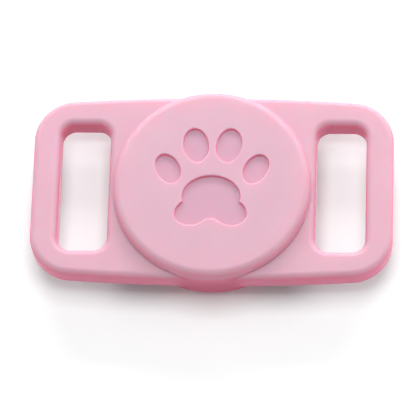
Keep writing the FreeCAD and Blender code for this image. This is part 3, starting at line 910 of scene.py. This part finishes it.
PINK_SILICONE = SoftSilicone(
    "pink_silicone_matte", "pink_silicone", light=(0.77, 0.472, 0.57), deep=(0.75, 0.452, 0.55),
)
WHITE_GLOSS = MouldedPlastic(
    "white_gloss_cover", "white_gloss", light=(0.72, 0.72, 0.71), deep=(0.69, 0.69, 0.68),
    roughness=(0.12, 0.3),
)
WHITE_SATIN = MouldedPlastic(
    "white_satin_shell", "white_satin", light=(0.7, 0.7, 0.69), deep=(0.66, 0.66, 0.65),
    roughness=(0.38, 0.52),
)
BLACK_RUBBER = Rubber(
    "black_seal_rubber", "black_rubber", light=(0.03, 0.03, 0.032), deep=(0.016, 0.016, 0.018),
)
GASKET_GREY = Rubber(
    "grey_gasket", "gasket_grey", light=(0.16, 0.16, 0.165), deep=(0.11, 0.11, 0.115),
)
BOARD_GREEN = BoardMask(
    "board_solder_mask", "board_green", light=(0.02, 0.12, 0.05), deep=(0.014, 0.09, 0.038),
)
NICKEL_STEEL = SheetMetal(
    "nickel_plated_steel", "nickel_steel", light=(0.69, 0.67, 0.635), deep=(0.65, 0.63, 0.595),
)
COPPER_FOIL = SheetMetal(
    "copper_foil", "copper_foil", light=(0.84, 0.47, 0.3), deep=(0.7, 0.36, 0.22), roughness=(0.26, 0.46),
)
COPPER_WIRE = TurnedMetal(
    "wound_copper_wire", "copper_foil", light=(0.86, 0.44, 0.24), deep=(0.45, 0.18, 0.08),
    turned=Relief(scale=26000.0, depth=0.00001, strength=0.8),
)
DOOR_STEEL = TurnedMetal(
    "brushed_door_steel", "door_steel", light=(0.74, 0.74, 0.75), deep=(0.6, 0.6, 0.61),
)
CHIP_BLACK = Grit(
    "chip_epoxy", "chip_black", light=(0.035, 0.035, 0.037), deep=(0.02, 0.02, 0.022),
    fleck=(0.09, 0.09, 0.09),
)
DARK_MAGNET = Grit(
    "pressed_magnet", "dark_magnet", light=(0.22, 0.22, 0.23), deep=(0.15, 0.15, 0.16),
    fleck=(0.36, 0.36, 0.37), metallic=1.0,
)


def dress_mesh(made: Object, finish: Finish, crease_angle: float) -> None:
    """Shade an object's mesh smooth between its creases, and give it its only material.

    Args:
        made: The object.
        finish: Its finish.
        crease_angle: The angle from which an edge stays sharp, in degrees.
    """
    made.data.shade_smooth()
    made.data.set_sharp_from_angle(angle=math.radians(crease_angle))
    made.data.materials.clear()
    made.data.materials.append(finish.material())


# The soft sleeve


@dataclass(frozen=True)
class Oval:
    """One oval of the sunk paw print, as it lies on the drum's face."""

    x: float
    y: float
    length: float
    width: float
    lean: float = 0.0


@dataclass
class PawPrint:
    """The sunk paw print on the drum's face: one pad with two lobes, and four toes."""

    depth: float = 0.65
    lip_round: float = 0.28
    foot_round: float = 0.2
    segments: int = 72
    arc_step: int = 18
    overrun: float = 4 * WELD
    ovals: list[Oval] = field(default_factory=lambda: [
        Oval(0.0, -2.9, 11.2, 8.8),
        *(Oval(side * 3.5, -5.9, 7.0, 5.4, -20.0 * side) for side in (-1, 1)),
        *(Oval(side * 3.2, 7.8, 7.0, 4.8, 90.0 - 10.0 * side) for side in (-1, 1)),
        *(Oval(side * 8.5, 2.9, 6.4, 4.4, 90.0 - 28.0 * side) for side in (-1, 1)),
    ])

    def profile(self) -> list[tuple[float, float]]:
        """Work out the print's wall from the face down.

        Returns:
            The wall's steps, as (step inwards, step down).
        """
        lip, foot = self.lip_round, self.foot_round
        quarter = [math.radians(angle) for angle in range(0, QUARTER_TURN + 1, self.arc_step)]
        path = [(lip * (1 - math.sin(turn)), lip * (1 - math.cos(turn))) for turn in quarter]
        path += [
            (-foot * (1 - math.cos(turn)), self.depth - foot * (1 - math.sin(turn))) for turn in quarter
        ]
        return [(start[0] - stop[0], stop[1] - start[1]) for start, stop in zip(path, path[1:])]

    def tools(self, face_level: float) -> list[Object]:
        """Make the solids that sink the print in the drum's face, one for each oval."""
        return [self._tool(f"paw_{index}", oval, face_level) for index, oval in enumerate(self.ovals)]

    def _tool(self, name: str, oval: Oval, face_level: float) -> Object:
        """Make one oval's solid: a bowl with a flared lip, closed above the face.

        Args:
            name: The solid's name.
            oval: Where the oval lies and how large it is.
            face_level: The level of the drum's face.

        Returns:
            The solid.
        """
        bm = bmesh.new()
        bmesh.ops.create_circle(bm, cap_ends=True, segments=self.segments, radius=1.0)
        reach = [size / 2 + self.lip_round for size in (oval.length, oval.width)]
        bmesh.ops.scale(bm, verts=bm.verts[:], vec=(*reach, 1.0))
        bmesh.ops.rotate(
            bm, verts=bm.verts[:], cent=(0, 0, 0), matrix=Matrix.Rotation(math.radians(oval.lean), 3, "Z")
        )
        bmesh.ops.translate(bm, verts=bm.verts[:], vec=(oval.x, oval.y, face_level + self.overrun))
        bm.normal_update()
        floor = next(iter(bm.faces))
        if floor.normal.z < 0:
            floor.normal_flip()
        for inwards, down in self.profile():
            bmesh.ops.inset_region(
                bm, faces=[floor], use_boundary=True, use_even_offset=True, thickness=inwards, depth=-down
            )
        self._cap(bm)
        return as_object(name, bm)

    def _cap(self, bm: BMesh) -> None:
        """Raise the open rim above the face and close it.

        Args:
            bm: The bowl's mesh.
        """
        rim = [edge for edge in bm.edges if edge.is_boundary]
        made = bmesh.ops.extrude_edge_only(bm, edges=rim)["geom"]
        tops = [item for item in made if isinstance(item, BMVert)]
        bmesh.ops.translate(bm, verts=tops, vec=(0, 0, self.depth))
        close_holes(bm)


@dataclass
class StrapPlate:
    """The flat plate with its bowed long edges and its two strap slots."""

    half_length: float = 35.0
    half_width: float = 17.5
    bow: float = 1.45
    back: float = 3.4
    front: float = 8.4
    corner_radius: float = 7.5
    front_round: float = 1.3
    back_round: float = 1.0
    slot_centre: float = 24.9
    slot_width: float = 9.6
    slot_length: float = 26.0
    slot_corner: float = 2.6
    slot_front_round: float = 1.4
    slot_back_round: float = 0.6
    core_radius: float = 16.8
    core_segments: int = 96
    overrun: float = 1.0
    long_edge_cuts: int = 63
    segments: int = 8

    def solid(self) -> Object:
        """Make the plate with open slots, a free middle and rounded edges.

        Returns:
            The plate.
        """
        plate = combine(self._blank(), Cut.AWAY, [self._slot(side) for side in Side] + [self._core()])
        bm = bmesh.new()
        bm.from_mesh(plate.data)
        bm.normal_update()
        for level, outer, inner in (
            (self.front, self.front_round, self.slot_front_round),
            (self.back, self.back_round, self.slot_back_round),
        ):
            for in_slot, radius in ((False, outer), (True, inner)):
                rims = [edge for edge in level_edges(bm, level) if self._is_rim(edge, in_slot)]
                round_off(bm, Rounding.EDGES, rims, radius, self.segments)
        bpy.data.meshes.remove(plate.data)
        return as_object("strap_plate", bm)

    def _is_rim(self, edge: BMEdge, in_slot: bool) -> bool:
        """Sort the edges into those round a slot and those of the plate's outline.

        Args:
            edge: The edge to sort.
            in_slot: Which of the two kinds is asked for.

        Returns:
            Whether the edge is of that kind.
        """
        middle = (edge.verts[0].co + edge.verts[1].co) / 2
        if middle.xy.length < self.core_radius + NEAR:
            return False
        beside = abs(abs(middle.x) - self.slot_centre) < self.slot_width / 2 + NEAR
        return (beside and abs(middle.y) < self.slot_length / 2 + NEAR) == in_slot

    def _blank(self) -> Object:
        """Make the plate's blank: rounded corners first, then the bow of the long edges.

        Returns:
            The blank.
        """
        x, y = self.half_length, self.half_width
        bm = flat_face([(-x, -y, self.back), (x, -y, self.back), (x, y, self.back), (-x, y, self.back)])
        round_off(bm, Rounding.CORNERS, bm.verts[:], self.corner_radius, self.segments * 2)
        long_edges = [edge for edge in bm.edges if edge.calc_length() > self.half_length]
        bmesh.ops.bisect_edges(bm, edges=long_edges, cuts=self.long_edge_cuts)
        for vert in bm.verts:
            swell = self.bow * (1 - (vert.co.x / self.half_length) ** 2)
            vert.co.y += swell * vert.co.y / self.half_width
        raise_faces(bm, self.front - self.back)
        return as_object("plate_blank", bm)

    def _slot(self, side: Side) -> Object:
        """Make the solid that opens one strap slot.

        Args:
            side: The side of the drum that the slot is on.

        Returns:
            The solid.
        """
        x, y, centre = self.slot_width / 2, self.slot_length / 2, side.value * self.slot_centre
        left, right, low = centre - x, centre + x, self.back - self.overrun
        bm = flat_face([(left, -y, low), (right, -y, low), (right, y, low), (left, y, low)])
        round_off(bm, Rounding.CORNERS, bm.verts[:], self.slot_corner, self.segments * 2)
        raise_faces(bm, self.front - low + self.overrun)
        return as_object(f"slot_{side.name.lower()}", bm)

    def _core(self) -> Object:
        """Make the solid that frees the plate's middle for the drum.

        Returns:
            The solid.
        """
        bm = bmesh.new()
        bmesh.ops.create_circle(bm, cap_ends=True, segments=self.core_segments, radius=self.core_radius)
        bmesh.ops.translate(bm, verts=bm.verts[:], vec=(0, 0, self.back - self.overrun))
        raise_faces(bm, self.front - self.back + 2 * self.overrun)
        return as_object("plate_core", bm)


@dataclass
class Drum:
    """The round drum: its flat face, rounded rims, tag pocket and retaining lip, as one section."""

    radius: float = 19.25
    height: float = 10.5
    front_round: float = 1.7
    back_round: float = 1.8
    pocket_radius: float = 16.05
    pocket_top: float = 9.2
    pocket_round: float = 2.0
    lip_radius: float = 13.4
    lip_back: float = 0.3
    lip_front: float = 1.6
    lip_round: float = 0.5
    mouth_round: float = 0.2
    foot_round: float = 0.08
    cap_radius: float = 13.0
    steps: int = 160
    segments: int = 8

    def solid(self) -> Object:
        """Round the corners of the drum's section, and spin it about the drum's axis.

        Returns:
            The drum.
        """
        corners = {
            (self.cap_radius, self.height): 0.0,
            (self.radius, self.height): self.front_round,
            (self.radius, 0.0): self.back_round,
            (self.pocket_radius, 0.0): self.mouth_round,
            (self.pocket_radius, self.lip_back): self.foot_round,
            (self.lip_radius, self.lip_back): self.lip_round,
            (self.lip_radius, self.lip_front): self.lip_round,
            (self.pocket_radius, self.lip_front): self.foot_round,
            (self.pocket_radius, self.pocket_top): self.pocket_round,
            (self.cap_radius, self.pocket_top): 0.0,
        }
        bm = flat_face([(across, 0.0, up) for across, up in corners])
        bm.verts.ensure_lookup_table()
        rounds = list(zip(bm.verts[:], corners.values()))
        ends = {rounds[0][0], rounds[-1][0]}
        for vert, radius in rounds:
            if radius:
                round_off(bm, Rounding.CORNERS, [vert], radius, self.segments)
        bmesh.ops.delete(bm, geom=bm.faces[:], context="FACES_ONLY")
        inner = [edge for edge in bm.edges if set(edge.verts) == ends]
        bmesh.ops.delete(bm, geom=inner, context="EDGES")
        bmesh.ops.spin(
            bm, geom=bm.verts[:] + bm.edges[:], cent=(0, 0, 0), axis=(0, 0, 1), angle=math.tau,
            steps=self.steps, use_merge=True,
        )
        bmesh.ops.remove_doubles(bm, verts=bm.verts[:], dist=WELD)
        close_holes(bm)
        return as_object("drum", bm)


@dataclass
class Sleeve:
    """The soft sleeve: plate and drum in one moulding, with the paw print sunk in its face."""

    plate: StrapPlate = field(default_factory=StrapPlate)
    drum: Drum = field(default_factory=Drum)
    paw: PawPrint = field(default_factory=PawPrint)
    finish: SoftSilicone = PINK_SILICONE
    crease_angle: float = 32.0

    def build(self) -> Object:
        """Join the plate and the drum, sink the print, and dress the moulding.

        Returns:
            The sleeve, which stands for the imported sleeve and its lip.
        """
        moulding = combine(self.plate.solid(), Cut.JOIN, [self.drum.solid()])
        moulding = combine(moulding, Cut.AWAY, self.paw.tools(self.drum.height))
        moulding.name = "soft_sleeve"
        self._finish_mesh(moulding)
        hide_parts("silicone_sleeve", "retaining_lip")
        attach(moulding, Body.SLEEVE.value)
        return moulding

    def _finish_mesh(self, moulding: Object) -> None:
        """Weld, scale and shade the moulding's mesh, and give it its material.

        Args:
            moulding: The sleeve, in millimetres before and in metres after.
        """
        bm = bmesh.new()
        bm.from_mesh(moulding.data)
        in_fixed_order(bm)
        bmesh.ops.remove_doubles(bm, verts=bm.verts[:], dist=WELD)
        bmesh.ops.recalc_face_normals(bm, faces=bm.faces[:])
        open_edges = sum(not edge.is_manifold for edge in bm.edges)
        LOG.info("soft_sleeve: %d faces, %d open edges", len(bm.faces), open_edges)
        bmesh.ops.scale(bm, verts=bm.verts[:], vec=(MM, MM, MM))
        bm.to_mesh(moulding.data)
        bm.free()
        dress_mesh(moulding, self.finish, self.crease_angle)
        step = moulding.modifiers.new("flat_faces_stay_flat", "WEIGHTED_NORMAL")
        step.keep_sharp = True


# The tag and its inner pieces


@dataclass
class PackedGroup:
    """A sub-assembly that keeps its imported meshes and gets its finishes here."""

    title: str
    finishes: dict[str, Finish]

    def dress(self, nodes: dict[str, Object]) -> None:
        """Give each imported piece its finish.

        Args:
            nodes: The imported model's pieces by name.
        """
        for name, finish in self.finishes.items():
            for slot in nodes[name].material_slots:
                slot.material = finish.material()
            LOG.info("%s: %s has %s", self.title, name, finish.name)


TAG_SHELL = PackedGroup("tag shell", {
    "tag_front_cover": WHITE_GLOSS,
    "tag_rear_shell": WHITE_SATIN,
    "seam_seal": BLACK_RUBBER,
})
ELECTRONICS = PackedGroup("electronics", {
    "circuit_board": BOARD_GREEN,
    "radio_shield": NICKEL_STEEL,
    "board_chips": CHIP_BLACK,
    "antenna_strip": COPPER_FOIL,
    "positive_contact_left": NICKEL_STEEL,
    "positive_contact_right": NICKEL_STEEL,
})
SOUNDER = PackedGroup("sounder", {
    "magnet_cup": NICKEL_STEEL,
    "speaker_magnet": DARK_MAGNET,
    "voice_coil": COPPER_WIRE,
})
COIN_CELL = PackedGroup("coin cell", {
    "cell_can": NICKEL_STEEL,
    "cell_cap": NICKEL_STEEL,
    "cell_gasket": GASKET_GREY,
})
BATTERY_DOOR = PackedGroup("battery door", {
    "battery_door": DOOR_STEEL,
    "door_lock_ring": WHITE_SATIN,
})


@dataclass
class ContactLeaf:
    """The leaf spring over the cell's cap."""

    node: str = "negative_contact"
    joint: str = "cell_press"
    fixed_end: float = 5.35
    travel: float = 0.2
    crease_angle: float = 25.0
    finish: SheetMetal = NICKEL_STEEL

    def build(self, nodes: dict[str, Object]) -> Object:
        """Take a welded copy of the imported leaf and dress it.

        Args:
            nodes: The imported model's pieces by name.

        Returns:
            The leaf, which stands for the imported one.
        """
        bm = bmesh.new()
        bm.from_mesh(nodes[self.node].data)
        leaf = as_object("contact_leaf", bm, WELD * MM)
        dress_mesh(leaf, self.finish, self.crease_angle)
        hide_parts(self.node)
        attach(leaf, Body.TAG.value)
        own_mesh(leaf)
        return leaf


# The studio


@dataclass
class PhotoCamera:
    """The camera at the photograph's place: a long lens high above the front edge."""

    target: Vector = field(default_factory=lambda: Vector((0.0, 0.0, 5.555)) * MM)
    distance: float = 649.55 * MM
    elevation: float = 68.473
    yaw: float = 3.967
    roll: float = 1.844
    lens: float = 289.9
    sensor: float = 36.0
    shift: Span = (-0.01137, -0.0384)
    clip: Span = (0.01, 20.0)

    def place(self) -> Object:
        """Make the camera and make it the scene's own.

        Returns:
            The camera.
        """
        high, side, lean = (math.radians(angle) for angle in (self.elevation, self.yaw, self.roll))
        sine, cosine = math.sin(high), math.cos(high)
        back = Vector((math.sin(side) * sine, -cosine, math.cos(side) * sine))
        level_up = Vector((math.sin(side) * cosine, sine, math.cos(side) * cosine))
        level_right = level_up.cross(back)
        right = level_right * math.cos(lean) + level_up * math.sin(lean)
        up = level_up * math.cos(lean) - level_right * math.sin(lean)
        lens = bpy.data.cameras.new("photo_camera")
        lens.lens, lens.sensor_width = self.lens, self.sensor
        lens.shift_x, lens.shift_y = self.shift
        lens.clip_start, lens.clip_end = self.clip
        camera = bpy.data.objects.new("photo_camera", lens)
        turn = Matrix((right, up, back)).transposed().to_4x4()
        camera.matrix_world = Matrix.Translation(self.target + back * self.distance) @ turn
        bpy.context.scene.collection.objects.link(camera)
        bpy.context.scene.camera = camera
        return camera


@dataclass
class SoftLamp:
    """A large soft lamp that faces the object."""

    name: str
    place: tuple[float, float, float]
    size: Span
    power: float

    def hang(self) -> Object:
        """Make the lamp, turned to the middle of the table.

        Returns:
            The lamp.
        """
        light = bpy.data.lights.new(self.name, "AREA")
        light.shape = "RECTANGLE"
        light.size, light.size_y = self.size
        light.energy = self.power
        lamp = bpy.data.objects.new(self.name, light)
        lamp.location = self.place
        lamp.rotation_euler = (-Vector(self.place)).to_track_quat("-Z", "Y").to_euler()
        bpy.context.scene.collection.objects.link(lamp)
        return lamp


@dataclass
class Studio:
    """A white table in a white room, with a soft box high behind the object, a low window and two cards."""

    camera: PhotoCamera = field(default_factory=PhotoCamera)
    lamps: list[SoftLamp] = field(default_factory=lambda: [
        SoftLamp("overhead_box", (0.0, 0.16, 0.7), (0.45, 0.45), 2.54),
        SoftLamp("back_window", (0.02, 0.365, 0.163), (0.5, 0.1), 1.4),
        SoftLamp("left_card", (-0.4, 0.06, 0.16), (0.3, 0.2), 0.25),
        SoftLamp("right_card", (0.4, 0.06, 0.16), (0.3, 0.2), 0.4),
    ])
    room: float = 0.27
    table_shine: float = 1.28
    table_size: float = 3.0
    table_drop: float = 0.00002
    table_fade: Span = (0.06, 0.22)
    table_mottle: float = 60.0
    table_light: Colour = (0.955, 0.955, 0.955)
    table_deep: Colour = (0.945, 0.945, 0.945)

    def set_up(self) -> None:
        """Set the view, the camera, the room, the lamps and the table."""
        bpy.context.scene.view_settings.view_transform = "Standard"
        self.camera.place()
        self._room()
        for lamp in self.lamps:
            lamp.hang()
        self._table()

    def _room(self) -> None:
        """Light the room evenly, and show it white to the camera and in reflections."""
        world = bpy.data.worlds.new("white_room")
        sheet = empty_sheet(world)
        level = sheet.math("MAXIMUM", self._seen(sheet), self.room)
        glow = sheet.add("ShaderNodeBackground", {"Color": WHITE, "Strength": level})
        sheet.add("ShaderNodeOutputWorld", {"Surface": glow.outputs[0]})
        bpy.context.scene.world = world

    @staticmethod
    def _seen(sheet: Sheet) -> NodeSocket:
        """Tell the rays that look at the background, directly or in a reflection.

        Args:
            sheet: The material's or the room's nodes.

        Returns:
            1 for those rays, and 0 for the rest.
        """
        rays = sheet.add("ShaderNodeLightPath").outputs
        seen = sheet.math("MAXIMUM", rays["Is Camera Ray"], rays["Is Glossy Ray"])
        return sheet.math("MAXIMUM", seen, rays["Is Transmission Ray"])

    def _table(self) -> Object:
        """Make the table top that the object lies on.

        Returns:
            The table top.
        """
        bm = bmesh.new()
        bmesh.ops.create_grid(bm, x_segments=1, y_segments=1, size=self.table_size / 2)
        bmesh.ops.translate(bm, verts=bm.verts[:], vec=(0, 0, -self.table_drop))
        table = as_object("table_top", bm)
        table.data.materials.append(self._table_finish())
        return table

    def _table_finish(self) -> Material:
        """Make the table's white, which fades into the white room further out.

        Returns:
            The material.
        """
        material = bpy.data.materials.new("white_table")
        sheet = empty_sheet(material)
        place = sheet.add("ShaderNodeTexCoord").outputs["Object"]
        tone = MOTTLE.place(
            sheet, Place=place, Scale=self.table_mottle, Light=self.table_light, Deep=self.table_deep
        )
        seen = self._seen(sheet)
        shine = sheet.math("MULTIPLY_ADD", seen, self.table_shine - 1.0, 1.0)
        bright = sheet.add("ShaderNodeVectorMath", {0: tone.outputs[0], "Scale": shine}, operation="SCALE")
        top = sheet.add("ShaderNodeBsdfDiffuse", {"Color": bright.outputs[0]})
        reach = sheet.add("ShaderNodeVectorMath", {0: place}, operation="LENGTH").outputs[1]
        far = sheet.math("MULTIPLY", sheet.spread(reach, *self.table_fade), seen)
        white = sheet.add("ShaderNodeEmission", {"Color": WHITE, "Strength": 1.0})
        surface = sheet.add("ShaderNodeMixShader", {0: far, 1: top.outputs[0], 2: white.outputs[0]})
        sheet.add("ShaderNodeOutputMaterial", {"Surface": surface.outputs[0]})
        return material


def main() -> None:
    """Set up the studio, and build and dress each sub-assembly."""
    logging.basicConfig(level=logging.INFO, format="%(message)s")
    Studio().set_up()
    sleeve = Sleeve().build()
    LOG.info("sleeve: %s is built and rides on %s", sleeve.name, Body.SLEEVE.value)
    for group in (TAG_SHELL, ELECTRONICS, SOUNDER, COIN_CELL, BATTERY_DOOR):
        group.dress(frame["nodes"])
    leaf = ContactLeaf().build(frame["nodes"])
    LOG.info("contact leaf: %s is built and rides on %s", leaf.name, Body.TAG.value)


if __name__ == "__main__":
    main()
